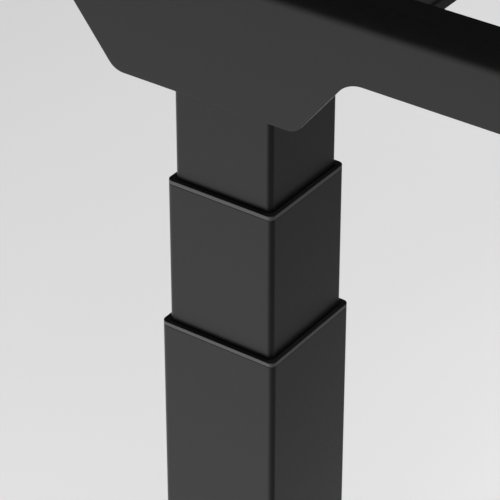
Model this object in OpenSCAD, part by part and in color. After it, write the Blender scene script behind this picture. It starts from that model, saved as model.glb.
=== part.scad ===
// Electric height adjustable desk frame: two three-stage lifting columns on feet,
// joined under the desk top by two telescoping rails. Millimetres, +Z up, front is -Y.
// The origin is on the floor, midway between the feet.

/* [Frame] */
// Distance between the outer faces of the two side brackets
frame_w = 1200; // [1160:10:1260]
// Height of the side bracket tops above the floor
top_z = 710; // [705:1:716]

/* [Column] */
// Side of the square outer tube, the lowest and widest
outer_w = 71; // [70.5:0.5:72]
// Step on each side from one tube to the next
tube_step = 3; // [2.9:0.1:3.1]
// Wall of the three tubes
tube_wall = 1.5; // [1.4:0.1:1.6]
// Corner radius of the three tubes
tube_r = 3.2; // [2.5:0.1:3.5]
// Top of the outer tube's collar above the floor
outer_top = 496; // [492:0.5:500]
// Top of the middle tube's collar above the floor
middle_top = 582; // [579:0.5:582.5]
// Height of the visible collar rim
rim_h = 2.4; // [2:0.1:2.8]
// Depth that a collar's skirt reaches into its tube
skirt_h = 30; // [20:1:40]

/* [Side bracket] */
// Length of the side bracket, front to back
bracket_l = 560; // [520:10:600]
// Sheet thickness of the brackets
sheet_t = 2; // [2:0.1:2.5]
// Outer radius of the bend between the plate and its top flange
bend_r = 11; // [9:0.5:12]
// Width of the top flange with its bend
flange_w = 25; // [25:0.5:30]
// Depth of the bracket's arms
arm_h = 39; // [34:0.5:42]
// Depth of the bracket at the column
gusset_h = 76; // [70:0.5:77]
// How far the gusset's lower edge reaches in front of the column's axis
gusset_front = 45; // [44:1:50]
// How far the gusset's lower edge reaches behind the column's axis
gusset_rear = 64.5; // [62:0.5:74]
// Steepness of the gusset's slopes, in degrees
gusset_angle = 52; // [45:1:58]
// Radius of the gusset's lower corners
gusset_r = 11; // [8:0.5:12]
// Radius where the gusset's slopes meet the arms
arm_r = 17; // [12:1:20]
// Distance between the two screw holes for the desk top in one bracket
top_hole_gap = 500; // [440:10:500]

/* [Rails] */
// Width of a rail
rail_w = 40; // [38:0.5:41]
// Height of a rail
rail_h = 22; // [21:0.5:23]
// Distance of each rail's middle from the column's axis
rail_y = 65; // [62:0.5:66]
// How far each sleeve reaches inwards from the side bracket's plate
sleeve_l = 500; // [460:10:520]
// Gap between a rail and its sleeve
slide_gap = 0.3; // [0.3:0.05:0.5]

/* [Feet] */
// Length of each foot without its end caps
foot_l = 624; // [560:8:680]
// Width of each foot
foot_w = 80; // [76:1:90]
// Height of the foot's tube
foot_h = 30; // [28:1:30]
// Length of a foot's end cap
cap_l = 16; // [12:1:20]

/* [Hidden] */

$fn = 48;
eps = 0.01;
left = -1;
right = 1;
steel = "#333335";
plastic = "#1c1c1e";
zinc = "#b9bcc0";
brass = "#b8964a";

// Column
middle_w = outer_w - 2 * tube_step;
inner_w = middle_w - 2 * tube_step;
glide_gap = 0.3;
plate_x = inner_w / 2 + sheet_t;
leg_x = frame_w / 2 - plate_x;

// Foot and base
pad_h = 8;
pad_r = 20;
stud_r = 4;
foot_z = 12;
foot_top = foot_z + foot_h;
foot_wall = 2;
foot_r = 4;
pad_y = foot_l / 2 - 22;
base_t = 5;
base_top = foot_top + base_t;
base_x = 76;
base_y = 124;
base_screw_x = 27;
base_screw_y = 50;
m8_r = 4;
hole_gap = 0.2;

// Stages, at the height drawn
middle_bottom = 109.5;
inner_bottom = 170;
inner_top = top_z - bend_r;
base_riser_r = 14;
base_riser_bore = 12;
base_riser_top = 462;
nut_h = 16;
middle_riser_r = 18;
middle_riser_bore = 16;
middle_riser_top = 558;
floor_t = 4;
hollow_r = 10;
hollow_bore = 6.8;
hollow_bottom = 140;
hollow_top = 554;
bearing_z = 536;
bearing_h = 12;
screw_r = 6;
journal_r = 5;
screw_bottom = 200;
screw_neck = 640;
run_gap = 0.3;

// Gearbox and motor
box_w = 54;
box_bottom = 652;
box_top = 698;
box_wall = 3;
wheel_r = 11;
wheel_z = 662;
wheel_h = 12;
worm_r = 4.5;
worm_l = 26;
motor_y = wheel_r + worm_r + 0.1;
motor_z = wheel_z + wheel_h / 2;
motor_r = 22;
motor_wall = 2;
motor_l = 96;
nose_r = 10;
shaft_r = 3;
rotor_r = 16;
rotor_l = 66;

// Bracket
arm_z = top_z - arm_h;
gusset_z = top_z - gusset_h;
bend_z = top_z - bend_r;
slope_run = (gusset_h - arm_h) / tan(gusset_angle);
end_cut = 10;
top_hole_r = 3.5;
top_hole_x = -plate_x + 17.5;
half_tan = tan(gusset_angle / 2);

// Rails and sleeves
sleeve_top = top_z - sheet_t;
rail_top = sleeve_top - sheet_t - slide_gap;
rail_bottom = rail_top - rail_h;
sleeve_bottom = rail_bottom + 9.8;
sleeve_out = rail_w / 2 + slide_gap + sheet_t;
rail_left = -leg_x - plate_x + sheet_t + 8;
rail_right = leg_x - 98;
rail_wall = 1.5;
rail_r = 2;
clamp_x = [25, 85];
clamp_r = 2.9;
clamp_head_r = 5;
clamp_head_h = 2.8;

// Control box
box_x0 = -400;
box_x1 = -160;
box_y = 33;
control_z0 = 662;
control_z1 = 700;
control_wall = 1.5;
lug_x = [box_x0 + 20, box_x1 - 20];
lug_w = 20;
lug_y = 68;
lug_hole_r = 2.2;
port_w = 13;
port_h = 9;
port_gap = 20;
inlet_w = 30;
inlet_h = 22;
inlet_z = 681;
board_z = 669;

// Handset
handset_x0 = -360;
handset_x1 = -260;
handset_z0 = 676;
handset_z1 = 704;
handset_y1 = -rail_y - sleeve_out;
handset_depth = 22;
handset_wall = 2;
panel_t = 2;
key_w = 18;
key_h = 13;
key_proud = 2;
key_gap = 0.4;
key_lip = 2;
key_lip_t = 1.5;
key_x = [-330, -290];
key_z = (handset_z0 + handset_z1) / 2;

// ---------- shared shapes ----------

// Puts a part drawn about the column's axis, with -X outwards, on one leg
module at_leg(side) {
    if (side == left)
        translate([-leg_x, 0, 0]) children();
    else
        mirror([1, 0, 0]) translate([-leg_x, 0, 0]) children();
}

module rounded_square(x, y, r) {
    square([x - 2 * r, y], center = true);
    square([x, y - 2 * r], center = true);
    for (sx = [-1, 1], sy = [-1, 1])
        translate([sx * (x / 2 - r), sy * (y / 2 - r)]) circle(r = r);
}

module square_ring(out, out_r, in, in_r) {
    difference() {
        rounded_square(out, out, out_r);
        rounded_square(in, in, in_r);
    }
}

module column_tube(w, z0, z1) {
    translate([0, 0, z0]) linear_extrude(z1 - z0)
        square_ring(w, tube_r, w - 2 * tube_wall, tube_r - tube_wall);
}

// Collar at the top of a tube of width w, round the next tube in
module glide_collar(w, top) {
    bore = w - 2 * tube_step + 2 * glide_gap;
    inside = w - 2 * tube_wall;
    color(plastic) {
        translate([0, 0, top - rim_h]) linear_extrude(rim_h)
            square_ring(w, tube_r, bore, tube_r + glide_gap);
        translate([0, 0, top - rim_h - skirt_h]) linear_extrude(skirt_h + eps)
            square_ring(inside, tube_r - tube_wall, bore, tube_r + glide_gap);
    }
}

module ring(z0, h, r, bore) {
    translate([0, 0, z0]) difference() {
        cylinder(r = r, h = h);
        translate([0, 0, -1]) cylinder(r = bore, h = h + 2);
    }
}

// Draws a profile of (y, z) and runs it along +X from x0
module along_x(x0, length) {
    translate([x0, 0, 0]) rotate([90, 0, 90]) linear_extrude(length) children();
}

// Draws a profile of (x, z) and runs it along Y, centred on the column
module along_y(length) {
    rotate([90, 0, 0]) linear_extrude(length, center = true) children();
}

function arc(x, y, r, from, to, steps = 12) =
    [for (i = [0:steps]) let (a = from + (to - from) * i / steps) [x + r * cos(a), y + r * sin(a)]];

// Button head screw with a hex socket, head up, its seat at z = 0
module socket_screw(r, length, head_r, head_h) {
    difference() {
        union() {
            translate([0, 0, -length]) cylinder(r = r, h = length + eps);
            cylinder(r1 = head_r, r2 = head_r * 0.8, h = head_h);
        }
        translate([0, 0, head_h * 0.35]) cylinder(r = r * 0.6, h = head_h, $fn = 6);
    }
}

// ---------- base ----------

module foot() {
    color(steel) difference() {
        translate([0, 0, foot_z + foot_h / 2]) along_y(foot_l) difference() {
            rounded_square(foot_w, foot_h, foot_r);
            rounded_square(foot_w - 2 * foot_wall, foot_h - 2 * foot_wall, foot_r - foot_wall);
        }
        for (sx = [-1, 1], sy = [-1, 1])
            translate([sx * base_screw_x, sy * base_screw_y, foot_top - 6])
                cylinder(r = m8_r + hole_gap, h = 8);
        for (sy = [-1, 1])
            translate([0, sy * pad_y, foot_z - 2]) cylinder(r = stud_r + hole_gap, h = 6);
    }
}

module foot_caps() {
    nose = cap_l - 5;
    color(plastic) for (s = [0, 180]) rotate([0, 0, s]) translate([0, foot_l / 2, 0]) {
        intersection() {
            translate([0, cap_l / 2, foot_z + foot_h / 2]) along_y(cap_l)
                rounded_square(foot_w, foot_h, foot_r);
            along_x(-foot_w / 2, foot_w) polygon([
                [0, foot_z], [nose, foot_z], [cap_l, foot_z + 6],
                [cap_l, foot_top - 12], [nose - 3, foot_top - 2], [0, foot_top]
            ]);
        }
        translate([0, -6, foot_z + foot_h / 2]) along_y(12 + eps)
            rounded_square(foot_w - 2 * foot_wall - 0.4, foot_h - 2 * foot_wall - 0.4, foot_r - foot_wall);
    }
}

module levelling_feet() {
    color(plastic) for (sy = [-1, 1]) translate([0, sy * pad_y, 0]) {
        cylinder(r = pad_r, h = 5);
        translate([0, 0, 5 - eps]) cylinder(r1 = pad_r, r2 = 9, h = pad_h - 5 + eps);
        translate([0, 0, pad_h - eps]) cylinder(r = 7.5, h = foot_z - pad_h, $fn = 6);
        translate([0, 0, pad_h]) cylinder(r = stud_r, h = 24);
    }
}

module base_plate() {
    color(steel) translate([0, 0, foot_top]) linear_extrude(base_t) difference() {
        rounded_square(base_x, base_y, 6);
        for (sx = [-1, 1], sy = [-1, 1])
            translate([sx * base_screw_x, sy * base_screw_y]) circle(r = m8_r + hole_gap);
    }
}

module base_screws() {
    color(zinc) for (sx = [-1, 1], sy = [-1, 1])
        translate([sx * base_screw_x, sy * base_screw_y, base_top]) socket_screw(m8_r, 20, 7, 4.4);
}

module outer_tube() {
    color(steel) column_tube(outer_w, base_top, outer_top - rim_h);
}

module outer_glide() {
    glide_collar(outer_w, outer_top);
}

module base_riser() {
    color(zinc) {
        ring(base_top, base_riser_top - base_top, base_riser_r, base_riser_bore);
        ring(base_top, 4, 24, base_riser_bore);
    }
}

module base_nut() {
    color(brass) ring(base_riser_top, nut_h, base_riser_r, hollow_r + run_gap);
}

// ---------- middle stage ----------

module middle_tube() {
    color(steel) column_tube(middle_w, middle_bottom, middle_top - rim_h);
}

module middle_glide() {
    glide_collar(middle_w, middle_top);
}

module middle_riser() {
    inside = middle_w - 2 * tube_wall;
    color(zinc) {
        translate([0, 0, middle_bottom]) linear_extrude(floor_t) difference() {
            rounded_square(inside, inside, tube_r - tube_wall);
            circle(r = base_riser_r + 1);
        }
        ring(middle_bottom, middle_riser_top - middle_bottom, middle_riser_r, middle_riser_bore);
    }
}

module middle_nut() {
    color(brass) ring(middle_riser_top, nut_h + 4, middle_riser_r, screw_r + run_gap);
}

module screw_bearing() {
    color(zinc) ring(bearing_z, bearing_h, middle_riser_bore, hollow_r + run_gap);
}

module hollow_screw() {
    color(zinc) {
        ring(hollow_bottom, hollow_top - hollow_bottom, hollow_r, hollow_bore);
        ring(bearing_z + bearing_h + run_gap, 5, 14, hollow_bore);
    }
}

// ---------- upper stage ----------

module inner_tube() {
    color(steel) difference() {
        column_tube(inner_w, inner_bottom, inner_top);
        translate([inner_w / 2 - 5, motor_y, motor_z]) rotate([0, 90, 0])
            cylinder(r = nose_r + 0.3, h = 10);
    }
}

module inner_screw() {
    color(zinc) {
        translate([0, 0, screw_bottom]) cylinder(r = screw_r, h = screw_neck - screw_bottom);
        translate([0, 0, screw_neck - eps]) cylinder(r = journal_r, h = box_top - 16 - screw_neck);
    }
}

module worm_wheel() {
    teeth = 24;
    color(brass) difference() {
        ring(wheel_z, wheel_h, wheel_r, journal_r + 0.05);
        for (i = [0:teeth - 1])
            rotate([0, 0, i * 360 / teeth]) translate([wheel_r, 0, wheel_z - 1])
                cylinder(r = 0.7, h = wheel_h + 2);
    }
}

module gearbox() {
    mid_z = (box_bottom + box_top) / 2;
    inside = box_w - 2 * box_wall;
    color(plastic) difference() {
        translate([0, 0, mid_z]) cube([box_w, box_w, box_top - box_bottom], center = true);
        translate([0, 0, mid_z]) cube([inside, inside, box_top - box_bottom - 2 * box_wall], center = true);
        translate([0, 0, box_bottom - 1]) cylinder(r = journal_r + run_gap, h = box_wall + 2);
        translate([0, motor_y, motor_z]) rotate([0, 90, 0]) cylinder(r = shaft_r + run_gap, h = box_w);
    }
}

module motor() {
    x0 = inner_w / 2;
    color(plastic) translate([0, motor_y, motor_z]) rotate([0, 90, 0]) difference() {
        union() {
            translate([0, 0, box_w / 2]) cylinder(r = nose_r, h = x0 - box_w / 2 + 1);
            translate([0, 0, x0]) cylinder(r = motor_r - 1, h = 4 + eps);
            translate([0, 0, x0 + 4]) cylinder(r = motor_r, h = motor_l);
            translate([0, 0, x0 + 4 + motor_l - eps]) cylinder(r1 = motor_r, r2 = motor_r - 3, h = 6);
            translate([motor_r - 3, 0, x0 + 24]) rotate([0, 90, 0]) cylinder(r = 5, h = 8);
        }
        translate([0, 0, x0 + 6]) cylinder(r = motor_r - motor_wall, h = motor_l);
        translate([0, 0, x0 - 6]) cylinder(r = shaft_r + run_gap, h = 16);
        translate([motor_r - 5, 0, x0 + 24]) rotate([0, 90, 0]) cylinder(r = 3, h = 12);
    }
}

module motor_shaft() {
    x0 = inner_w / 2;
    color(zinc) translate([0, motor_y, motor_z]) rotate([0, 90, 0]) {
        translate([0, 0, -worm_l / 2]) cylinder(r = worm_r, h = worm_l);
        cylinder(r = shaft_r, h = x0 + motor_l);
        translate([0, 0, x0 + 20]) cylinder(r = rotor_r, h = rotor_l);
    }
}

// Outline of the upright plate as (y, z), front to back
function plate_outline() = concat(
    [[-bracket_l / 2, bend_z], [-bracket_l / 2, arm_z + end_cut], [-bracket_l / 2 + end_cut, arm_z]],
    arc(-gusset_front - slope_run - arm_r * half_tan, arm_z - arm_r, arm_r, 90, 90 - gusset_angle),
    arc(-gusset_front + gusset_r * half_tan, gusset_z + gusset_r, gusset_r, 270 - gusset_angle, 270),
    arc(gusset_rear - gusset_r * half_tan, gusset_z + gusset_r, gusset_r, 270, 270 + gusset_angle),
    arc(gusset_rear + slope_run + arm_r * half_tan, arm_z - arm_r, arm_r, 90 + gusset_angle, 90),
    [[bracket_l / 2 - end_cut, arm_z], [bracket_l / 2, arm_z + end_cut], [bracket_l / 2, bend_z]]
);

module side_bracket() {
    edge_x = flange_w - plate_x;
    bend_x = bend_r - plate_x;
    half_l = bracket_l / 2;
    color(steel) {
        along_x(-plate_x, sheet_t) polygon(plate_outline());
        translate([bend_x, 0, bend_z]) along_y(bracket_l) intersection() {
            difference() {
                circle(r = bend_r);
                circle(r = bend_r - sheet_t);
            }
            translate([-bend_r, 0]) square(bend_r);
        }
        translate([0, 0, top_z - sheet_t]) linear_extrude(sheet_t) difference() {
            polygon([
                [bend_x, -half_l], [edge_x - end_cut, -half_l], [edge_x, end_cut - half_l],
                [edge_x, half_l - end_cut], [edge_x - end_cut, half_l], [bend_x, half_l]
            ]);
            for (sy = [-1, 1])
                translate([top_hole_x, sy * top_hole_gap / 2]) circle(r = top_hole_r);
        }
    }
}

// Sleeve on the front (-1) or rear (1) rail: a channel, open below
module sleeve(side_y) {
    open_h = rail_top + slide_gap;
    color(steel) difference() {
        translate([bend_r - plate_x, side_y * rail_y - sleeve_out, sleeve_bottom])
            cube([sleeve_l + sheet_t - bend_r, 2 * sleeve_out, sleeve_top - sleeve_bottom]);
        translate([-plate_x, side_y * rail_y - sleeve_out + sheet_t, sleeve_bottom - 1])
            cube([sleeve_l + 10, 2 * (sleeve_out - sheet_t), open_h - sleeve_bottom + 1]);
        clamp_places(side_y) cylinder(r = clamp_r + 0.1, h = 12, center = true);
    }
}

// Places for the screws that clamp a rail, in the sleeve's outward wall, +Z of the child outwards
module clamp_places(side_y) {
    for (x = clamp_x)
        translate([sleeve_l + sheet_t - plate_x - x, side_y * (rail_y + sleeve_out), rail_bottom + 16.5])
            rotate([-90 * side_y, 0, 0]) children();
}

module clamp_screws() {
    color(zinc) for (side_y = [-1, 1])
        clamp_places(side_y) socket_screw(clamp_r, sheet_t, clamp_head_r, clamp_head_h);
}

// ---------- rails and electrics ----------

module rail(side_y) {
    color(steel) difference() {
        translate([0, side_y * rail_y, (rail_top + rail_bottom) / 2])
            along_x(rail_left, rail_right - rail_left) difference() {
                rounded_square(rail_w, rail_h, rail_r);
                rounded_square(rail_w - 2 * rail_wall, rail_h - 2 * rail_wall, rail_r - rail_wall);
            }
        for (x = lug_x)
            translate([x, side_y * (box_y + lug_y) / 2, rail_bottom - 1])
                cylinder(r = lug_hole_r, h = 4);
    }
}

module control_box() {
    long = box_x1 - box_x0;
    high = control_z1 - control_z0;
    color(steel) difference() {
        union() {
            translate([box_x0, -box_y, control_z0]) cube([long, 2 * box_y, high]);
            for (x = lug_x)
                translate([x - lug_w / 2, -lug_y, rail_bottom - sheet_t]) cube([lug_w, 2 * lug_y, sheet_t]);
        }
        translate([box_x0 + control_wall, control_wall - box_y, control_z0 + control_wall])
            cube([long - 2 * control_wall, 2 * (box_y - control_wall), high]);
        for (x = lug_x, sy = [-1, 1])
            translate([x, sy * (box_y + lug_y) / 2, rail_bottom - 5]) cylinder(r = lug_hole_r, h = 10);
        for (i = [-1:1])
            translate([box_x0 - 1, i * port_gap - port_w / 2, inlet_z - port_h / 2])
                cube([control_wall + 2, port_w, port_h]);
        translate([box_x1 - control_wall - 1, -inlet_w / 2, inlet_z - inlet_h / 2])
            cube([control_wall + 2, inlet_w, inlet_h]);
    }
}

module control_cover() {
    long = box_x1 - box_x0;
    inner_y = box_y - control_wall - 0.2;
    color(steel) {
        translate([box_x0, -box_y, control_z1]) cube([long, 2 * box_y, control_wall]);
        for (sy = [-1, 1])
            translate([box_x0 + 12, sy * inner_y - (sy > 0 ? 1.2 : 0), control_z1 - 7])
                cube([long - 24, 1.2, 7 + eps]);
    }
}

module control_board() {
    long = box_x1 - box_x0 - 46;
    color("#235c3a") translate([box_x0 + 8, -27, board_z]) {
        cube([long, 54, 1.6]);
        translate([12, 10, 1]) cube([38, 32, 22]);
        translate([60, 6, 1]) cube([6, 42, 20]);
        for (i = [0:2])
            translate([84 + i * 22, 16, 1]) cylinder(r = 8, h = 20);
        for (x = [10, long - 10], y = [8, 46])
            translate([x, y, control_z0 + control_wall - board_z]) cylinder(r = 3, h = board_z - control_z0);
    }
}

module power_inlet() {
    depth = 14;
    color(plastic) {
        difference() {
            union() {
                translate([box_x1 - depth - 3, 0.1 - inlet_w / 2, inlet_z + 0.1 - inlet_h / 2])
                    cube([depth + 3 + eps, inlet_w - 0.2, inlet_h - 0.2]);
                translate([box_x1, -inlet_w / 2 - 2.5, inlet_z - inlet_h / 2 - 2.5])
                    cube([2, inlet_w + 5, inlet_h + 5]);
            }
            translate([box_x1 - depth, 3 - inlet_w / 2, inlet_z + 3 - inlet_h / 2])
                cube([depth + 5, inlet_w - 6, inlet_h - 6]);
        }
        for (y = [-7, 0, 7])
            translate([box_x1 - depth - 1, y - 1, inlet_z - 2]) cube([depth - 2, 2, 4]);
    }
}

module handset_case() {
    long = handset_x1 - handset_x0;
    high = handset_z1 - handset_z0;
    color(plastic) translate([handset_x0, handset_y1 - handset_depth, handset_z0]) difference() {
        cube([long, handset_depth, high]);
        translate([handset_wall, -1, handset_wall])
            cube([long - 2 * handset_wall, handset_depth - handset_wall + 1, high - 2 * handset_wall]);
    }
}

module handset_panel() {
    high = handset_z1 - handset_z0;
    face_y = handset_y1 - handset_depth - panel_t;
    color(plastic) difference() {
        translate([handset_x0, face_y, handset_z0]) cube([handset_x1 - handset_x0, panel_t, high]);
        for (x = key_x)
            translate([x - key_w / 2 - key_gap, face_y - 1, key_z - key_h / 2 - key_gap])
                cube([key_w + 2 * key_gap, panel_t + 2, key_h + 2 * key_gap]);
    }
}

module key(x) {
    face_y = handset_y1 - handset_depth - panel_t;
    lip_y = face_y + panel_t + key_gap;
    color("#4a4a4d") {
        translate([x - key_w / 2, face_y - key_proud, key_z - key_h / 2])
            cube([key_w, key_proud + panel_t + key_gap + eps, key_h]);
        translate([x - key_w / 2 - key_lip, lip_y, key_z - key_h / 2 - key_lip])
            cube([key_w + 2 * key_lip, key_lip_t, key_h + 2 * key_lip]);
    }
}

// ---------- nodes ----------

at_leg(left) foot();  // left_foot
at_leg(left) foot_caps();  // left_foot_caps
at_leg(left) levelling_feet();  // left_levelling_feet
at_leg(left) base_plate();  // left_base_plate
at_leg(left) base_screws();  // left_base_screws
at_leg(left) outer_tube();  // left_outer_tube
at_leg(left) outer_glide();  // left_outer_glide
at_leg(left) base_riser();  // left_base_riser
at_leg(left) base_nut();  // left_base_nut
at_leg(left) middle_tube();  // left_middle_tube
at_leg(left) middle_glide();  // left_middle_glide
at_leg(left) middle_riser();  // left_middle_riser
at_leg(left) middle_nut();  // left_middle_nut
at_leg(left) screw_bearing();  // left_screw_bearing
at_leg(left) hollow_screw();  // left_hollow_screw
at_leg(left) inner_tube();  // left_inner_tube
at_leg(left) inner_screw();  // left_inner_screw
at_leg(left) worm_wheel();  // left_worm_wheel
at_leg(left) gearbox();  // left_gearbox
at_leg(left) motor();  // left_motor
at_leg(left) motor_shaft();  // left_motor_shaft
at_leg(left) side_bracket();  // left_side_bracket
at_leg(left) sleeve(-1);  // left_front_sleeve
at_leg(left) sleeve(1);  // left_rear_sleeve
at_leg(left) clamp_screws();  // left_clamp_screws
at_leg(right) foot();  // right_foot
at_leg(right) foot_caps();  // right_foot_caps
at_leg(right) levelling_feet();  // right_levelling_feet
at_leg(right) base_plate();  // right_base_plate
at_leg(right) base_screws();  // right_base_screws
at_leg(right) outer_tube();  // right_outer_tube
at_leg(right) outer_glide();  // right_outer_glide
at_leg(right) base_riser();  // right_base_riser
at_leg(right) base_nut();  // right_base_nut
at_leg(right) middle_tube();  // right_middle_tube
at_leg(right) middle_glide();  // right_middle_glide
at_leg(right) middle_riser();  // right_middle_riser
at_leg(right) middle_nut();  // right_middle_nut
at_leg(right) screw_bearing();  // right_screw_bearing
at_leg(right) hollow_screw();  // right_hollow_screw
at_leg(right) inner_tube();  // right_inner_tube
at_leg(right) inner_screw();  // right_inner_screw
at_leg(right) worm_wheel();  // right_worm_wheel
at_leg(right) gearbox();  // right_gearbox
at_leg(right) motor();  // right_motor
at_leg(right) motor_shaft();  // right_motor_shaft
at_leg(right) side_bracket();  // right_side_bracket
at_leg(right) sleeve(-1);  // right_front_sleeve
at_leg(right) sleeve(1);  // right_rear_sleeve
at_leg(right) clamp_screws();  // right_clamp_screws
rail(-1);  // front_rail
rail(1);  // rear_rail
control_box();
control_cover();
control_board();
power_inlet();
handset_case();
handset_panel();
key(key_x[0]);  // up_key
key(key_x[1]);  // down_key
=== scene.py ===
import bpy
import bmesh
import math
from mathutils import Matrix, Vector


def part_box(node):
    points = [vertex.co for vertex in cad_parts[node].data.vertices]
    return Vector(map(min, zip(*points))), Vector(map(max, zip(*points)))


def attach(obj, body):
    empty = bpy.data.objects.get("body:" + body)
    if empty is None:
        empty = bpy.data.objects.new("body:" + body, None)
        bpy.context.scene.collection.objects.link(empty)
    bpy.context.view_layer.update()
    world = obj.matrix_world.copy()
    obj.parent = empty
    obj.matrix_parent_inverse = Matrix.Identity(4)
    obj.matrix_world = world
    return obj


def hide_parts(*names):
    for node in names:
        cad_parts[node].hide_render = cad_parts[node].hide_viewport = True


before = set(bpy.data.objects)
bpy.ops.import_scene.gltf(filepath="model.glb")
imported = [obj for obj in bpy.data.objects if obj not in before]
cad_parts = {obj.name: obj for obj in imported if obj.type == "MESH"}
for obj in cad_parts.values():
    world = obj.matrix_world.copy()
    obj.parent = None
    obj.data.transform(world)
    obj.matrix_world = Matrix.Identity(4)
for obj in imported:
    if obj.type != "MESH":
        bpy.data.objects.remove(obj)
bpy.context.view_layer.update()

MM = 0.001
SIDES = ("left", "right")


# ---------- camera, floor and light ----------

def add_camera():
    data = bpy.data.cameras.new("camera")
    data.lens = 180.1
    data.sensor_width = 36
    data.clip_start = 0.05
    data.clip_end = 60
    camera = bpy.data.objects.new("camera", data)
    camera.location = (-1.4591, -0.62433, 1.24058)
    camera.rotation_euler = (math.radians(56.99), 0, math.radians(-54.81))
    bpy.context.scene.collection.objects.link(camera)
    bpy.context.scene.camera = camera


def add_floor():
    mesh = bpy.data.meshes.new("floor")
    half = 40
    corners = [(-half, -half, 0), (half, -half, 0), (half, half, 0), (-half, half, 0)]
    mesh.from_pydata(corners, [], [(0, 1, 2, 3)])
    floor = bpy.data.objects.new("floor", mesh)
    bpy.context.scene.collection.objects.link(floor)
    mesh.materials.append(floor_material())


def add_softbox(name, place, aim, width, height, power):
    data = bpy.data.lights.new(name, "AREA")
    data.shape = "RECTANGLE"
    data.size = width
    data.size_y = height
    data.energy = power
    light = bpy.data.objects.new(name, data)
    light.location = place
    light.rotation_euler = (Vector(aim) - Vector(place)).to_track_quat("-Z", "Y").to_euler()
    light.visible_camera = False
    bpy.context.scene.collection.objects.link(light)


def add_lights():
    add_softbox("front_left", (-2.6, -1.4, 2.6), (-0.3, 0, 0.2), 1.6, 1.6, 30)
    add_softbox("front_right", (2.4, -2.0, 2.8), (0.2, 0, 0.2), 1.6, 1.6, 16)
    add_softbox("overhead", (0, -0.9, 3.1), (0, -0.9, 0), 2.4, 1.4, 15)
    add_softbox("rear", (-0.5, 3.2, 1.4), (-0.1, 0, 0.5), 2.4, 0.9, 18)
    world = bpy.data.worlds.new("studio")
    world.use_nodes = True
    background = world.node_tree.nodes["Background"]
    background.inputs["Color"].default_value = (1, 1, 1, 1)
    seen = world.node_tree.nodes.new("ShaderNodeLightPath").outputs["Is Camera Ray"]
    strength = world.node_tree.nodes.new("ShaderNodeMapRange")
    strength.inputs["To Min"].default_value = 0.02
    strength.inputs["To Max"].default_value = 0.62
    world.node_tree.links.new(seen, strength.inputs["Value"])
    world.node_tree.links.new(strength.outputs["Result"], background.inputs["Strength"])
    bpy.context.scene.world = world
    bpy.context.scene.view_settings.view_transform = "Standard"


# ---------- materials ----------

class Shader:
    """A Principled material and short ways to add the nodes that feed it."""

    def __init__(self, name):
        self.material = bpy.data.materials.new(name)
        self.material.use_nodes = True
        self.tree = self.material.node_tree
        self.principled = self.tree.nodes["Principled BSDF"]
        self.place = self.tree.nodes.new("ShaderNodeTexCoord").outputs["Object"]

    def set(self, **values):
        for name, value in values.items():
            self.principled.inputs[name.replace("_", " ")].default_value = value

    def feed(self, **sources):
        for name, source in sources.items():
            self.link(source, self.principled.inputs[name.replace("_", " ")])

    def link(self, source, target):
        self.tree.links.new(source, target)

    def noise(self, grain, detail=3):
        node = self.tree.nodes.new("ShaderNodeTexNoise")
        node.inputs["Scale"].default_value = 1 / grain
        node.inputs["Detail"].default_value = detail
        node.inputs["Roughness"].default_value = 0.55
        self.link(self.place, node.inputs["Vector"])
        return node.outputs["Fac"]

    def range(self, source, low, high, source_low=0.3, source_high=0.7):
        node = self.tree.nodes.new("ShaderNodeMapRange")
        self.link(source, node.inputs["Value"])
        node.inputs["From Min"].default_value = source_low
        node.inputs["From Max"].default_value = source_high
        node.inputs["To Min"].default_value = low
        node.inputs["To Max"].default_value = high
        return node.outputs["Result"]

    def ramp(self, source, stops):
        node = self.tree.nodes.new("ShaderNodeValToRGB")
        self.link(source, node.inputs["Fac"])
        elements = node.color_ramp.elements
        elements[0].position, elements[0].color = stops[0][0], (*stops[0][1], 1)
        elements[1].position, elements[1].color = stops[-1][0], (*stops[-1][1], 1)
        for position, color in stops[1:-1]:
            elements.new(position).color = (*color, 1)
        return node.outputs["Color"]

    def mix(self, factor, first, second):
        node = self.tree.nodes.new("ShaderNodeMix")
        node.data_type = "RGBA"
        self.link(factor, node.inputs["Factor"])
        self.link(first, node.inputs["A"])
        self.link(second, node.inputs["B"])
        return node.outputs["Result"]

    def bump(self, source, strength, distance, normal=None):
        node = self.tree.nodes.new("ShaderNodeBump")
        node.inputs["Strength"].default_value = strength
        node.inputs["Distance"].default_value = distance
        self.link(source, node.inputs["Height"])
        if normal is not None:
            self.link(normal, node.inputs["Normal"])
        return node.outputs["Normal"]

    def edges(self, radius):
        """0 on flat faces, up to 1 on convex and concave edges within the radius."""
        bevel = self.tree.nodes.new("ShaderNodeBevel")
        bevel.samples = 4
        bevel.inputs["Radius"].default_value = radius
        flat = self.tree.nodes.new("ShaderNodeNewGeometry").outputs["True Normal"]
        dot = self.tree.nodes.new("ShaderNodeVectorMath")
        dot.operation = "DOT_PRODUCT"
        self.link(bevel.outputs["Normal"], dot.inputs[0])
        self.link(flat, dot.inputs[1])
        return self.range(dot.outputs["Value"], 1, 0, 0.72, 0.97)


def grey(value):
    return (value, value, value)


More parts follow.
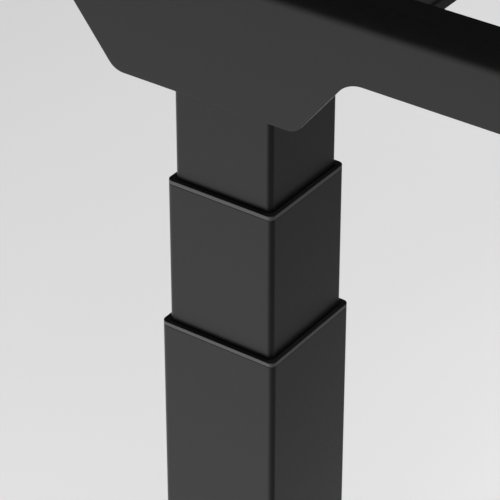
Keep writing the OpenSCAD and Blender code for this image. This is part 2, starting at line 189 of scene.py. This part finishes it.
def floor_material():
    """Pale grey, glowing with a painted pool of light that fades to painted shade at the front, in metres
    from the middle of the frame.
    """
    shader = Shader("studio_floor")
    split = shader.tree.nodes.new("ShaderNodeSeparateXYZ")
    shader.link(shader.place, split.inputs["Vector"])
    across, along = (shader.range(split.outputs[axis], 0, 1, -2, 2) for axis in "XY")
    shader.feed(
        Base_Color=shader.ramp(shader.noise(0.5), [(0.3, grey(0.44)), (0.7, grey(0.45))]),
        # painted light: the floor glows brightest towards -X and around y = 0.1, and is nearly black in
        # front of y = -0.5
        Emission_Color=shader.ramp(across, [
            (0.2, grey(0.97)), (0.24, grey(0.93)), (0.4, grey(0.665)), (1, grey(0.63)),
        ]),
        Emission_Strength=shader.ramp(along, [
            (0.3, grey(0.03)), (0.38, grey(0.12)), (0.43, grey(0.38)),
            (0.53, grey(1)), (0.75, grey(0.76)), (1, grey(0.6)),
        ]),
    )
    shader.set(Roughness=0.85, Specular_IOR_Level=0.1)
    return shader.material


def powder_coat():
    shader = Shader("powder_coat")
    tint = shader.ramp(shader.noise(0.003), [(0.3, grey(0.0032)), (0.7, grey(0.0050))])
    # a lighter base colour along convex and concave edges
    edge_tone = shader.ramp(shader.noise(0.002), [(0.35, grey(0.008)), (0.7, grey(0.016))])
    peel = shader.bump(shader.noise(0.003, 2), 0.12, 0.00012)
    shader.feed(
        Base_Color=shader.mix(shader.edges(0.0006), tint, edge_tone),
        Roughness=shader.range(shader.noise(0.001), 0.31, 0.39),
        Normal=shader.bump(shader.noise(0.0005, 2), 0.2, 0.00002, peel),
    )
    return shader.material


def collar_lit_sides():
    # A lighter copy of the collar plastic for the collar's sides: its lighter base colour is painted
    # light, and its higher gloss is the material's
    shader = Shader("collar_lit_sides")
    shader.feed(
        Base_Color=shader.ramp(shader.noise(0.002), [(0.3, grey(0.055)), (0.7, grey(0.065))]),
        Roughness=shader.range(shader.noise(0.001), 0.35, 0.45),
        Normal=shader.bump(shader.noise(0.0004, 2), 0.2, 0.00002),
    )
    shader.set(Specular_IOR_Level=1.0)
    return shader.material


def moulded_plastic(name, low, high, smooth, rough):
    shader = Shader(name)
    shader.feed(
        Base_Color=shader.ramp(shader.noise(0.006), [(0.3, grey(low)), (0.7, grey(high))]),
        Roughness=shader.range(shader.noise(0.0015), smooth, rough),
        Normal=shader.bump(shader.noise(0.0004, 2), 0.3, 0.00002),
    )
    return shader.material


def rubber():
    shader = Shader("rubber")
    shader.feed(
        Base_Color=shader.ramp(shader.noise(0.004), [(0.3, grey(0.008)), (0.7, grey(0.014))]),
        Roughness=shader.range(shader.noise(0.002), 0.7, 0.9),
        Normal=shader.bump(shader.noise(0.0008, 3), 0.4, 0.00005),
    )
    return shader.material


def plated_metal(name, dark, bright, smooth, rough):
    shader = Shader(name)
    shader.feed(
        Base_Color=shader.ramp(shader.noise(0.005, 4), [(0.3, dark), (0.7, bright)]),
        Roughness=shader.range(shader.noise(0.002, 4), smooth, rough),
        Normal=shader.bump(shader.noise(0.0007), 0.15, 0.00002),
    )
    shader.set(Metallic=1.0)
    return shader.material


def circuit_board():
    shader = Shader("circuit_board")
    shader.feed(
        Base_Color=shader.ramp(shader.noise(0.003, 4), [
            (0.35, (0.01, 0.06, 0.025)), (0.65, (0.02, 0.10, 0.04)),
        ]),
        Roughness=shader.range(shader.noise(0.002), 0.3, 0.5),
        Normal=shader.bump(shader.noise(0.0012), 0.3, 0.00005),
    )
    return shader.material


MATERIALS = {
    "powder_coat": powder_coat(),
    "collar_plastic": moulded_plastic("collar_plastic", 0.0035, 0.0055, 0.45, 0.6),
    "collar_lit_sides": collar_lit_sides(),
    "rubber": rubber(),
    "motor_housing": moulded_plastic("motor_housing", 0.008, 0.013, 0.35, 0.5),
    "zinc": plated_metal("zinc", (0.42, 0.43, 0.45), (0.58, 0.59, 0.60), 0.28, 0.42),
    "brass": plated_metal("brass", (0.55, 0.38, 0.14), (0.68, 0.48, 0.20), 0.25, 0.4),
    "handset_plastic": moulded_plastic("handset_plastic", 0.010, 0.015, 0.4, 0.55),
    "key_plastic": moulded_plastic("key_plastic", 0.05, 0.065, 0.4, 0.5),
    "key_print": moulded_plastic("key_print", 0.6, 0.68, 0.45, 0.6),
    "circuit_board": circuit_board(),
}

LEG_SLOTS = {
    "foot": "powder_coat", "foot_caps": "collar_plastic", "levelling_feet": "rubber",
    "base_plate": "powder_coat", "base_screws": "zinc", "outer_tube": "powder_coat",
    "outer_glide": "collar_plastic", "base_riser": "zinc", "base_nut": "brass",
    "middle_tube": "powder_coat", "middle_glide": "collar_plastic", "middle_riser": "zinc",
    "middle_nut": "brass", "screw_bearing": "zinc", "hollow_screw": "zinc",
    "inner_tube": "powder_coat", "inner_screw": "zinc", "worm_wheel": "brass",
    "gearbox": "motor_housing", "motor": "motor_housing", "motor_shaft": "zinc",
    "side_bracket": "powder_coat", "front_sleeve": "powder_coat", "rear_sleeve": "powder_coat",
    "clamp_screws": "zinc",
}
SHARED_SLOTS = {
    "front_rail": "powder_coat", "rear_rail": "powder_coat", "control_box": "powder_coat",
    "control_cover": "powder_coat", "control_board": "circuit_board",
    "power_inlet": "handset_plastic", "handset_case": "handset_plastic",
    "handset_panel": "handset_plastic", "up_key": "key_plastic", "down_key": "key_plastic",
}


def node_slots():
    slots = dict(SHARED_SLOTS)
    for side in SIDES:
        slots.update({f"{side}_{name}": slot for name, slot in LEG_SLOTS.items()})
    return slots


def finish_cad_nodes():
    for name, slot in node_slots().items():
        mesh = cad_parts[name].data
        mesh.materials.clear()
        mesh.materials.append(MATERIALS[slot])


# ---------- outlines and solids, in millimetres ----------

def rounded_rect(width, depth, radius, steps=6):
    radius = max(radius, 0.05)
    points = []
    for sx, sy, start in ((1, 1, 0), (-1, 1, 90), (-1, -1, 180), (1, -1, 270)):
        for k in range(steps + 1):
            angle = math.radians(start + 90 * k / steps)
            x = sx * (width / 2 - radius) + radius * math.cos(angle)
            y = sy * (depth / 2 - radius) + radius * math.sin(angle)
            points.append((x, y))
    return points


def circle(radius, steps=48):
    turn = 2 * math.pi / steps
    return [(radius * math.cos(k * turn), radius * math.sin(k * turn)) for k in range(steps)]


def hexagon(radius, steps=48):
    """A hexagon with the same number of points as a circle, so that one lofts into the other."""
    points = []
    for k in range(steps):
        angle = 2 * math.pi * k / steps
        reach = radius * math.cos(math.pi / 6) / math.cos(angle % (math.pi / 3) - math.pi / 6)
        points.append((reach * math.cos(angle), reach * math.sin(angle)))
    return points


def soften(points, radius, steps=3, closed=True):
    """Rounds the corners of a polyline."""
    points = [Vector(p) for p in points]
    result = []
    for i, corner in enumerate(points):
        if not closed and i in (0, len(points) - 1):
            result.append(corner)
            continue
        before = points[i - 1] - corner
        after = points[(i + 1) % len(points)] - corner
        size = min(radius, 0.48 * before.length, 0.48 * after.length)
        a = corner + before.normalized() * size
        b = corner + after.normalized() * size
        for k in range(steps + 1):
            s = k / steps
            result.append(a * (1 - s) ** 2 + corner * (2 * s * (1 - s)) + b * s ** 2)
    return result


def inset(points, distance):
    """Moves an anticlockwise outline inwards, and a clockwise one outwards."""
    moved = []
    for i, point in enumerate(points):
        point = Vector(point[:2])
        before = (point - Vector(points[i - 1][:2])).normalized()
        after = (Vector(points[(i + 1) % len(points)][:2]) - point).normalized()
        n1 = Vector((-before.y, before.x))
        n2 = Vector((-after.y, after.x))
        moved.append(point + (n1 + n2) * (distance / max(1 + n1.dot(n2), 0.2)))
    return moved


def bridge(bm, first, second):
    for i in range(len(first)):
        bm.faces.new((first[i - 1], first[i], second[i], second[i - 1]))


def loft(bm, loops, closed=False):
    """Joins loops of vertices in turn, and caps both ends or joins them too."""
    for first, second in zip(loops, loops[1:]):
        bridge(bm, first, second)
    if closed:
        bridge(bm, loops[-1], loops[0])
    else:
        bm.faces.new(loops[0])
        bm.faces.new(loops[-1])


def stack(bm, shape, section, closed=True, place=None):
    """Lofts shape(reach, corner) along a section of (reach, height, corner)."""
    place = place or Matrix.Identity(4)
    loops = []
    for reach, height, corner in section:
        loops.append([bm.verts.new(place @ Vector((x, y, height))) for x, y in shape(reach, corner)])
    loft(bm, loops, closed)


def shrinking_rect(width, depth, steps):
    """A shape for stack: a rounded rectangle that is smaller by the reach on each side."""
    return lambda reach, corner: rounded_rect(width - 2 * reach, depth - 2 * reach, corner, steps)


def lathe(bm, profile, place=None, closed=False, steps=48):
    """Turns a profile of (radius, height) about the Z axis of place."""
    stack(bm, lambda r, _: circle(r, steps), [(r, z, 0) for r, z in profile], closed, place)


def slab(bm, outline, holes, thickness, edge, place=None):
    """An outline with holes, thick along Z from 0 up, with softened edges."""
    place = place or Matrix.Identity(4)
    section = [(edge, 0), (edge * 0.3, edge * 0.3), (0, edge), (0, thickness - edge)]
    section += [(edge * 0.3, thickness - edge * 0.3), (edge, thickness)]
    caps = ([], [])
    for points in (outline, *holes):
        loops = []
        for distance, height in section:
            flat = inset(points, distance)
            loops.append([bm.verts.new(place @ Vector((p.x, p.y, height))) for p in flat])
        for first, second in zip(loops, loops[1:]):
            bridge(bm, first, second)
        for cap, loop in zip(caps, (loops[0], loops[-1])):
            cap.extend(bm.edges.get((loop[i - 1], loop[i])) for i in range(len(loop)))
    for cap in caps:
        bmesh.ops.triangle_fill(bm, edges=cap, use_beauty=True, use_dissolve=False)


def bead(bm, path, radius, closed):
    """A weld bead with fine ripples along a path of points."""
    path = [Vector(p) for p in path]
    count = len(path)
    loops = []
    for i, point in enumerate(path):
        ahead = path[(i + 1) % count] if closed or i < count - 1 else point
        behind = path[i - 1] if closed or i > 0 else point
        along = (ahead - behind).normalized()
        side = along.cross(Vector((0, 0, 1)))
        if side.length < 0.1:
            side = along.cross(Vector((1, 0, 0)))
        side.normalize()
        up = side.cross(along)
        size = radius * (1 + 0.10 * math.sin(i * 2.1))
        loops.append([bm.verts.new(point + side * size * x + up * size * y) for x, y in circle(1, 10)])
    loft(bm, loops, closed)


def spaced(points, gap, closed):
    """Points at an even gap along a polyline."""
    points = [Vector(p) for p in points]
    ends = points[1:] + ([points[0]] if closed else [])
    result = []
    for a, b in zip(points, ends):
        count = max(1, round((b - a).length / gap))
        result += [a.lerp(b, k / count) for k in range(count)]
    return result if closed else result + [points[-1]]


# ---------- turning solids into pieces ----------

def make(name, bm, body, slot, nodes=(), materials=None, sharp=42):
    bmesh.ops.recalc_face_normals(bm, faces=bm.faces)
    mesh = bpy.data.meshes.new(name)
    bm.to_mesh(mesh)
    bm.free()
    mesh.shade_smooth()
    mesh.set_sharp_from_angle(angle=math.radians(sharp))
    for material in materials or [slot]:
        mesh.materials.append(MATERIALS[material])
    piece = bpy.data.objects.new(name, mesh)
    bpy.context.scene.collection.objects.link(piece)
    normals = piece.modifiers.new("normals", "WEIGHTED_NORMAL")
    normals.keep_sharp = True
    normals.weight = 80
    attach(piece, body)
    if nodes:
        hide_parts(*nodes)


def axis_x(side):
    low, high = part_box(f"{side}_outer_tube")
    return (low.x + high.x) / 2


def leg_box(side, node):
    """The node's corners in millimetres about the column's axis, with -X outwards on both legs."""
    low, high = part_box(f"{side}_{node}")
    x = axis_x(side)
    xs = (low.x - x, high.x - x) if side == "left" else (x - high.x, x - low.x)
    return Vector((xs[0], low.y, low.z)) / MM, Vector((xs[1], high.y, high.z)) / MM


def make_leg(side, name, bm, body, nodes=(), slot=None, **more):
    x = axis_x(side)
    flip = 1 if side == "left" else -1
    for vert in bm.verts:
        vert.co = Vector((x + flip * vert.co.x * MM, vert.co.y * MM, vert.co.z * MM))
    slot = slot or LEG_SLOTS[nodes[0]]
    full = [f"{side}_{node}" for node in nodes]
    make(f"{side}_{name}", bm, f"{side}_{body}", slot, full, **more)


def make_shared(name, bm, body, node, slot=None, **more):
    for vert in bm.verts:
        vert.co = vert.co * MM
    make(name, bm, body, slot or SHARED_SLOTS[node], [node] if node else [], **more)


def softened(node, body, slot, width, name, segments=2):
    """A CAD part with its sharp edges rounded, as a piece of its own."""
    bm = bmesh.new()
    bm.from_mesh(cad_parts[node].data)
    bmesh.ops.remove_doubles(bm, verts=bm.verts, dist=1e-6)
    bmesh.ops.dissolve_limit(bm, angle_limit=math.radians(1), verts=bm.verts, edges=bm.edges)
    hard = [e for e in bm.edges if len(e.link_faces) == 2 and e.calc_face_angle() > math.radians(40)]
    bmesh.ops.bevel(bm, geom=hard, offset=width * MM, segments=segments, profile=0.5, affect="EDGES")
    make(name, bm, body, slot, [node])


# ---------- column ----------

# As in the CAD, where the frame's boxes don't give them
TUBE_R = 3.2
TUBE_WALL = 1.5
TUBE_LIP = 0.4
COLLAR_W = 2.7


def tube(side, node, body):
    low, high = leg_box(side, node)
    width = high.x - low.x
    inner_r = TUBE_R - TUBE_WALL
    section = [
        (TUBE_WALL, low.z, inner_r), (0, low.z, TUBE_R),
        (0, high.z, TUBE_R), (TUBE_WALL, high.z, inner_r),
    ]
    bm = bmesh.new()
    stack(bm, shrinking_rect(width, width, 10), soften(section, TUBE_LIP))
    make_leg(side, f"{node}_shell", bm, body, [node])


def collar(side, node, tube_node, body):
    low, high = leg_box(side, node)
    seat = leg_box(side, tube_node)[1].z
    width = high.x - low.x
    inner_r = TUBE_R - TUBE_WALL
    section = soften([
        (0, seat, TUBE_R), (0, high.z, TUBE_R), (COLLAR_W, high.z, TUBE_R + 0.3),
        (COLLAR_W, low.z, TUBE_R + 0.3), (TUBE_WALL, low.z, inner_r), (TUBE_WALL, seat, inner_r),
    ], 0.35)
    bm = bmesh.new()
    stack(bm, shrinking_rect(width, width, 10), section)
    bm.normal_update()
    bmesh.ops.recalc_face_normals(bm, faces=bm.faces)
    # painted light: the collar's outer sides take the lighter copy of its plastic (material 1) where the
    # floor lights them, while the top, where little light falls, and the inside keep the dark plastic
    for face in bm.faces:
        centre = face.calc_center_median()
        on_side = max(abs(centre.x), abs(centre.y)) > width / 2 - 0.3
        on_corner = centre.xy.length > width * 0.66
        if (on_side or on_corner) and abs(face.normal.z) < 0.6 and centre.z > seat:
            face.material_index = 1
    make_leg(side, f"{node}_collar", bm, body, [node], materials=["collar_plastic", "collar_lit_sides"])


# ---------- base ----------

def foot(side):
    low, high = leg_box(side, "foot")
    width, height, wall = high.x - low.x, high.z - low.z, 2
    middle = (low.z + high.z) / 2
    place = Matrix.Translation((0, 0, middle)) @ Matrix.Rotation(math.radians(90), 4, "X")
    section = [(wall, low.y, 2), (0, low.y, 4), (0, high.y, 4), (wall, high.y, 2)]
    bm = bmesh.new()
    stack(bm, shrinking_rect(width, height, 8), soften(section, 0.4), place=place)
    make_leg(side, "foot_tube", bm, "base", ["foot"])


CAP_EDGE = 0.45


def roll_off(t, depth, power):
    """How far a cap's face has moved in at t: 0 at the foot's tube, the depth at the tip."""
    return depth * (1 - math.sqrt(1 - t ** power))


def foot_caps(side):
    low, high = leg_box(side, "foot_caps")
    tube_end = leg_box(side, "foot")[1].y
    reach = high.y - tube_end
    bm = bmesh.new()
    for way in (-1, 1):
        loops = []
        for k in range(19):
            t = k / 18
            along = tube_end + reach * math.sin(t * math.pi / 2) ** 1.1
            drop, rise, pinch = roll_off(t, 13, 2.6), roll_off(t, 6, 4), roll_off(t, 3.5, 3)
            if k == 0:
                drop = rise = pinch = CAP_EDGE
            z0, z1 = low.z + rise, high.z - drop
            outline = rounded_rect(high.x - low.x - 2 * pinch, z1 - z0, 4, 8)
            loops.append([bm.verts.new((x, way * along, (z0 + z1) / 2 + y)) for x, y in outline])
        loft(bm, loops)
    make_leg(side, "foot_end_caps", bm, "base", ["foot_caps"])


def levelling_feet(side):
    low, high = leg_box(side, "levelling_feet")
    pad_r = 20
    reach = (high.y - low.y) / 2 - pad_r
    bm = bmesh.new()
    thread = []
    for k in range(24):
        thread += [(3.6, 8 + k), (4.0, 8.5 + k)]
    pad = [(pad_r - 2, 0), (pad_r, 0), (pad_r, 4.6), (pad_r - 1.4, 5.2), (9, 8)]
    nut = [(6.7, 8, 0), (7.4, 8.5, 0), (7.4, 11.5, 0), (6.7, 12, 0)]
    for way in (-1, 1):
        place = Matrix.Translation((0, way * reach, 0))
        lathe(bm, soften(pad, 0.6, closed=False), place)
        lathe(bm, [(3.2, 8)] + thread + [(3.2, 32)], place, steps=24)
        stack(bm, lambda r, _: hexagon(r), nut, False, place)
    make_leg(side, "levelling_pads", bm, "base", ["levelling_feet"])


def button_screws(bm, places, radius, head_r, head_h, length):
    """Button head screws with a hex socket, each with its seat at the origin of its place."""
    profile = [(radius, 0), (head_r, 0), (head_r * 0.96, head_h * 0.35), (head_r * 0.62, head_h)]
    socket = radius * 0.62
    rings = [(circle(radius), -length), (circle(radius), 0)]
    rings += [(circle(r), z) for r, z in soften(profile, 0.5, 3, False)]
    rings += [(hexagon(socket * 1.1), head_h), (hexagon(socket), head_h * 0.9)]
    rings.append((hexagon(socket), head_h * 0.35))
    for place in places:
        loops = [[bm.verts.new(place @ Vector((x, y, z))) for x, y in ring] for ring, z in rings]
        loft(bm, loops)


def base_screws(side):
    high = leg_box(side, "base_screws")[1]
    seat = leg_box(side, "base_plate")[1].z
    head_r = 7
    x, y = high.x - head_r, high.y - head_r
    bm = bmesh.new()
    places = [Matrix.Translation((sx * x, sy * y, seat)) for sx in (-1, 1) for sy in (-1, 1)]
    button_screws(bm, places, 4, head_r, high.z - seat, 20)
    make_leg(side, "base_bolts", bm, "base", ["base_screws"])


def base_plate(side):
    low, high = leg_box(side, "base_plate")
    bm = bmesh.new()
    outline = rounded_rect(high.x - low.x, high.y - low.y, 6, 10)
    slab(bm, outline, [], high.z - low.z, 0.6, Matrix.Translation((0, 0, low.z)))
    make_leg(side, "column_plate", bm, "base", ["base_plate"])


def base_weld(side):
    low, high = leg_box(side, "outer_tube")
    width = high.x - low.x
    path = [(x, y, low.z + 0.3) for x, y in rounded_rect(width + 1, width + 1, TUBE_R + 0.5, 6)]
    bm = bmesh.new()
    bead(bm, spaced(path, 1.3, True), 2.4, True)
    make_leg(side, "column_weld", bm, "base", slot="powder_coat", sharp=80)


# ---------- side bracket ----------

# As in the CAD, where the frame's boxes don't give them
SHEET = 2
BEND_R = 11
ARM_H = 39
SLOPE = 52
GUSSET_FRONT = 45
GUSSET_REAR = 64.5
ARM_R = 17
GUSSET_R = 11
END_CUT = 10
HOLE_R = 3.5
HOLE_X = 17.5
HOLE_Y = 250


def bend_arc(y, s, radius, start, end, steps=14):
    points = []
    for k in range(steps + 1):
        angle = math.radians(start + (end - start) * k / steps)
        points.append((s + radius * math.sin(angle), y + radius * math.cos(angle)))
    return points


def bracket_outline(length, gusset_h, flange):
    """The unbent sheet as (up the sheet, along Y), anticlockwise."""
    arm = gusset_h - ARM_H
    bend = gusset_h - BEND_R
    end = bend + BEND_R * math.pi / 2 + flange - BEND_R
    half = length / 2
    lean = math.tan(math.radians(SLOPE / 2))
    run = arm / math.tan(math.radians(SLOPE))
    points = [(bend, -half), (arm + END_CUT, -half), (arm, -half + END_CUT)]
    points += bend_arc(-GUSSET_FRONT - run - ARM_R * lean, arm - ARM_R, ARM_R, 90, 90 - SLOPE)
    points += bend_arc(-GUSSET_FRONT + GUSSET_R * lean, GUSSET_R, GUSSET_R, 270 - SLOPE, 270)
    points += bend_arc(GUSSET_REAR - GUSSET_R * lean, GUSSET_R, GUSSET_R, 270, 270 + SLOPE)
    points += bend_arc(GUSSET_REAR + run + ARM_R * lean, arm - ARM_R, ARM_R, 90 + SLOPE, 90)
    points += [(arm, half - END_CUT), (arm + END_CUT, half), (bend, half)]
    points += [(end - END_CUT, half), (end, half - END_CUT)]
    points += [(end, -half + END_CUT), (end - END_CUT, -half)]
    return points[::-1], bend


def side_bracket(side):
    low, high = leg_box(side, "side_bracket")
    outline, bend = bracket_outline(high.y - low.y, high.z - low.z, high.x - low.x)
    turn = BEND_R * math.pi / 2
    hole_s = bend + turn + HOLE_X - BEND_R
    hole = [(hole_s + x, y) for x, y in reversed(circle(HOLE_R, 32))]
    holes = [[(s, y + sy * HOLE_Y) for s, y in hole] for sy in (-1, 1)]
    bm = bmesh.new()
    slab(bm, outline, holes, SHEET, 0.35)
    for k in range(13):
        everything = bm.verts[:] + bm.edges[:] + bm.faces[:]
        cut = (bend + turn * k / 12, 0, 0)
        bmesh.ops.bisect_plane(bm, geom=everything, plane_co=cut, plane_no=(1, 0, 0), dist=1e-4)
    for vert in bm.verts:
        s, y, depth = vert.co
        if s <= bend:
            vert.co = (low.x + depth, y, low.z + s)
        elif s <= bend + turn:
            angle = (s - bend) / BEND_R
            r = BEND_R - depth
            vert.co = (low.x + BEND_R - r * math.cos(angle), y, low.z + bend + r * math.sin(angle))
        else:
            vert.co = (low.x + BEND_R + s - bend - turn, y, high.z - depth)
    make_leg(side, "bracket_sheet", bm, "top", ["side_bracket"])


def bracket_weld(side):
    low, high = leg_box(side, "inner_tube")
    bracket_low = leg_box(side, "side_bracket")[0]
    bm = bmesh.new()
    for sy in (-1, 1):
        path = [(low.x + 0.4, sy * (high.y + 0.4), z) for z in (bracket_low.z + 5, high.z - 2)]
        bead(bm, spaced(path, 1.2, False), 1.9, False)
    make_leg(side, "bracket_weld", bm, "top", slot="powder_coat", sharp=80)


# ---------- sleeves and rails ----------

STRIP_PROUD = 1.3
STRIP_DROP = 5.4


def along_x(x, y, z):
    """Turns X, Y and Z into Y, Z and X, with the origin at the place given."""
    return Matrix(((0, 0, 1, x), (1, 0, 0, y), (0, 1, 0, z), (0, 0, 0, 1)))


def sleeve(side, which):
    node = f"{which}_sleeve"
    low, high = leg_box(side, node)
    half = (high.y - low.y) / 2
    tall = high.z - low.z
    outline = [
        (-half, 0), (-half + SHEET, 0), (-half + SHEET, tall - SHEET),
        (half - SHEET, tall - SHEET), (half - SHEET, 0), (half, 0), (half, tall), (-half, tall),
    ]
    profile = []
    for i, radius in enumerate((0.3, 0.3, 0.8, 0.8, 0.3, 0.3, 2.6, 2.6)):
        corner = [outline[i - 1], outline[i], outline[(i + 1) % 8]]
        profile += soften(corner, radius, 5, False)[1:-1]
    place = along_x(low.x, (low.y + high.y) / 2, low.z)
    bm = bmesh.new()
    slab(bm, [tuple(p) for p in profile], [], high.x - low.x, 0.3, place)
    make_leg(side, f"{node}_channel", bm, "top", [node])
    strips = bmesh.new()
    for way in (-1, 1):
        y0, y1 = sorted((way * (half + STRIP_PROUD), way * (half - SHEET - 0.15)))
        strip = [(y0, -STRIP_DROP), (y1, -STRIP_DROP), (y1, 0), (y0, 0)]
        slab(strips, strip, [], high.x - low.x, 0.2, place)
    make_leg(side, f"{node}_glide_strips", strips, "top", slot="collar_plastic")


def rail(node):
    low, high = (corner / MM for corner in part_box(node))
    width, height, wall = high.y - low.y, high.z - low.z, 1.5
    middle = (low + high) / 2
    place = along_x(0, middle.y, middle.z)
    section = [(wall, low.x, 0.5), (0, low.x, 2), (0, high.x, 2), (wall, high.x, 0.5)]
    bm = bmesh.new()
    stack(bm, shrinking_rect(width, height, 8), soften(section, 0.3), place=place)
    make_shared(f"{node}_tube", bm, "left_top", node)


def clamp_screws(side):
    low, high = leg_box(side, "clamp_screws")
    wall = leg_box(side, "rear_sleeve")[1].y
    height = (low.z + high.z) / 2
    bm = bmesh.new()
    head_r = 5
    for sy in (-1, 1):
        turn = Matrix.Rotation(math.radians(-90 * sy), 4, "X")
        ends = (low.x + head_r, high.x - head_r)
        places = [Matrix.Translation((x, sy * wall, height)) @ turn for x in ends]
        button_screws(bm, places, 2.9, head_r, high.y - wall, SHEET)
    make_leg(side, "clamp_bolts", bm, "top", ["clamp_screws"])


# ---------- drive ----------

def motor(side):
    low, high = leg_box(side, "motor")
    face = leg_box(side, "inner_tube")[1].x
    radius = (high.y - low.y) / 2
    centre = Vector((0, high.y - radius, high.z - radius))
    place = Matrix.Translation(centre) @ Matrix.Rotation(math.radians(90), 4, "Y")
    start, end = face + 4, high.x
    skin, groove = radius - 0.2, radius - 1.1
    profile = [(10, face - 2), (radius - 1, face), (radius - 1, start), (skin, start), (skin, start + 12)]
    for k in range(9):
        x = start + 14 + k * 8
        profile += [(skin, x), (groove, x + 0.8), (groove, x + 2.2), (skin, x + 3)]
    profile += [
        (skin, end - 8), (radius, end - 8), (radius, end - 6), (radius - 3, end),
        (radius - 6, end), (radius - 6.6, end - 1), (8, end - 1), (7, end - 0.2), (2, end - 0.2),
    ]
    bm = bmesh.new()
    lathe(bm, soften(profile, 0.35, 2, False), place, steps=72)
    bolt_circle = radius - 10.5
    for k in range(4):
        angle = math.radians(45 + 90 * k)
        spot = Vector((bolt_circle * math.cos(angle), bolt_circle * math.sin(angle), end - 2.0))
        bolt = soften([(2.4, 0), (2.4, 1.6), (1.2, 1.8)], 0.3, 2, False)
        lathe(bm, bolt, place @ Matrix.Translation(spot), steps=24)
    gland = soften([(6.4, -1), (6.4, 1.6), (5, 2.0), (5, 6.5), (3.2, 6.5), (3.0, 3.0)], 0.4, 2, False)
    below = Matrix.Translation((face + 24, centre.y, centre.z - radius + 1.6))
    lathe(bm, gland, below @ Matrix.Rotation(math.pi, 4, "X"), steps=36)
    make_leg(side, "motor_body", bm, "top", ["motor"])


def gearbox(side):
    low, high = leg_box(side, "gearbox")
    width = high.x - low.x
    bm = bmesh.new()
    section = [
        (2, low.z, 2), (0, low.z, 3), (0, high.z - 6, 3), (0.8, high.z - 6, 3),
        (0.8, high.z - 5, 3), (0, high.z - 5, 3), (0, high.z - 1.2, 3), (3, high.z - 1.2, 3),
    ]
    stack(bm, shrinking_rect(width, width, 6), soften(section, 0.3, 2, False), False)
    lid = Matrix.Translation((0, 0, high.z - 1.4))
    lathe(bm, soften([(14, 0), (14, 1.3), (9, 1.3), (8.4, 0.6), (2, 0.6)], 0.3, 2, False), lid)
    spots = [Matrix.Translation((sx * 21.5, sy * 21.5, high.z - 1.3)) for sx in (-1, 1) for sy in (-1, 1)]
    button_screws(bm, spots, 2, 3.4, 1.2, 3)
    make_leg(side, "gearbox_case", bm, "top", ["gearbox"])


# ---------- control box and handset ----------

def control_parts():
    softened("control_box", "left_top", "powder_coat", 0.5, "control_housing")
    softened("control_cover", "left_top", "powder_coat", 0.35, "control_lid")
    softened("control_board", "left_top", "circuit_board", 0.15, "control_circuit")
    softened("power_inlet", "left_top", "handset_plastic", 0.4, "mains_socket", 3)


def handset_parts():
    softened("handset_case", "left_top", "handset_plastic", 0.8, "handset_shell", 4)
    softened("handset_panel", "left_top", "handset_plastic", 0.35, "handset_face", 3)
    for node, way in (("up_key", 1), ("down_key", -1)):
        softened(node, node, "key_plastic", 0.45, f"{node}_cap", 3)
        key_arrow(node, way)


def key_arrow(node, way):
    low, high = (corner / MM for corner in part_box(node))
    x, z = (low.x + high.x) / 2, (low.z + high.z) / 2
    points = [(-3.6, -1.8), (3.6, -1.8), (0, 2.4)]
    if way < 0:
        points = [(px, -pz) for px, pz in reversed(points)]
    outline = [tuple(p) for p in soften(points, 0.6, 4)]
    place = Matrix(((1, 0, 0, x), (0, 0, 1, low.y - 0.12), (0, 1, 0, z), (0, 0, 0, 1)))
    bm = bmesh.new()
    slab(bm, outline, [], 0.4, 0.08, place)
    make_shared(f"{node}_arrow", bm, node, None, slot="key_plastic", materials=["key_print"])


# ---------- scene ----------

add_camera()
add_floor()
add_lights()
finish_cad_nodes()
for side in SIDES:
    tube(side, "outer_tube", "base")
    tube(side, "middle_tube", "middle")
    tube(side, "inner_tube", "top")
    collar(side, "outer_glide", "outer_tube", "base")
    collar(side, "middle_glide", "middle_tube", "middle")
    foot(side)
    foot_caps(side)
    levelling_feet(side)
    base_plate(side)
    base_screws(side)
    base_weld(side)
    side_bracket(side)
    bracket_weld(side)
    sleeve(side, "front")
    sleeve(side, "rear")
    clamp_screws(side)
    motor(side)
    gearbox(side)
rail("front_rail")
rail("rear_rail")
control_parts()
handset_parts()
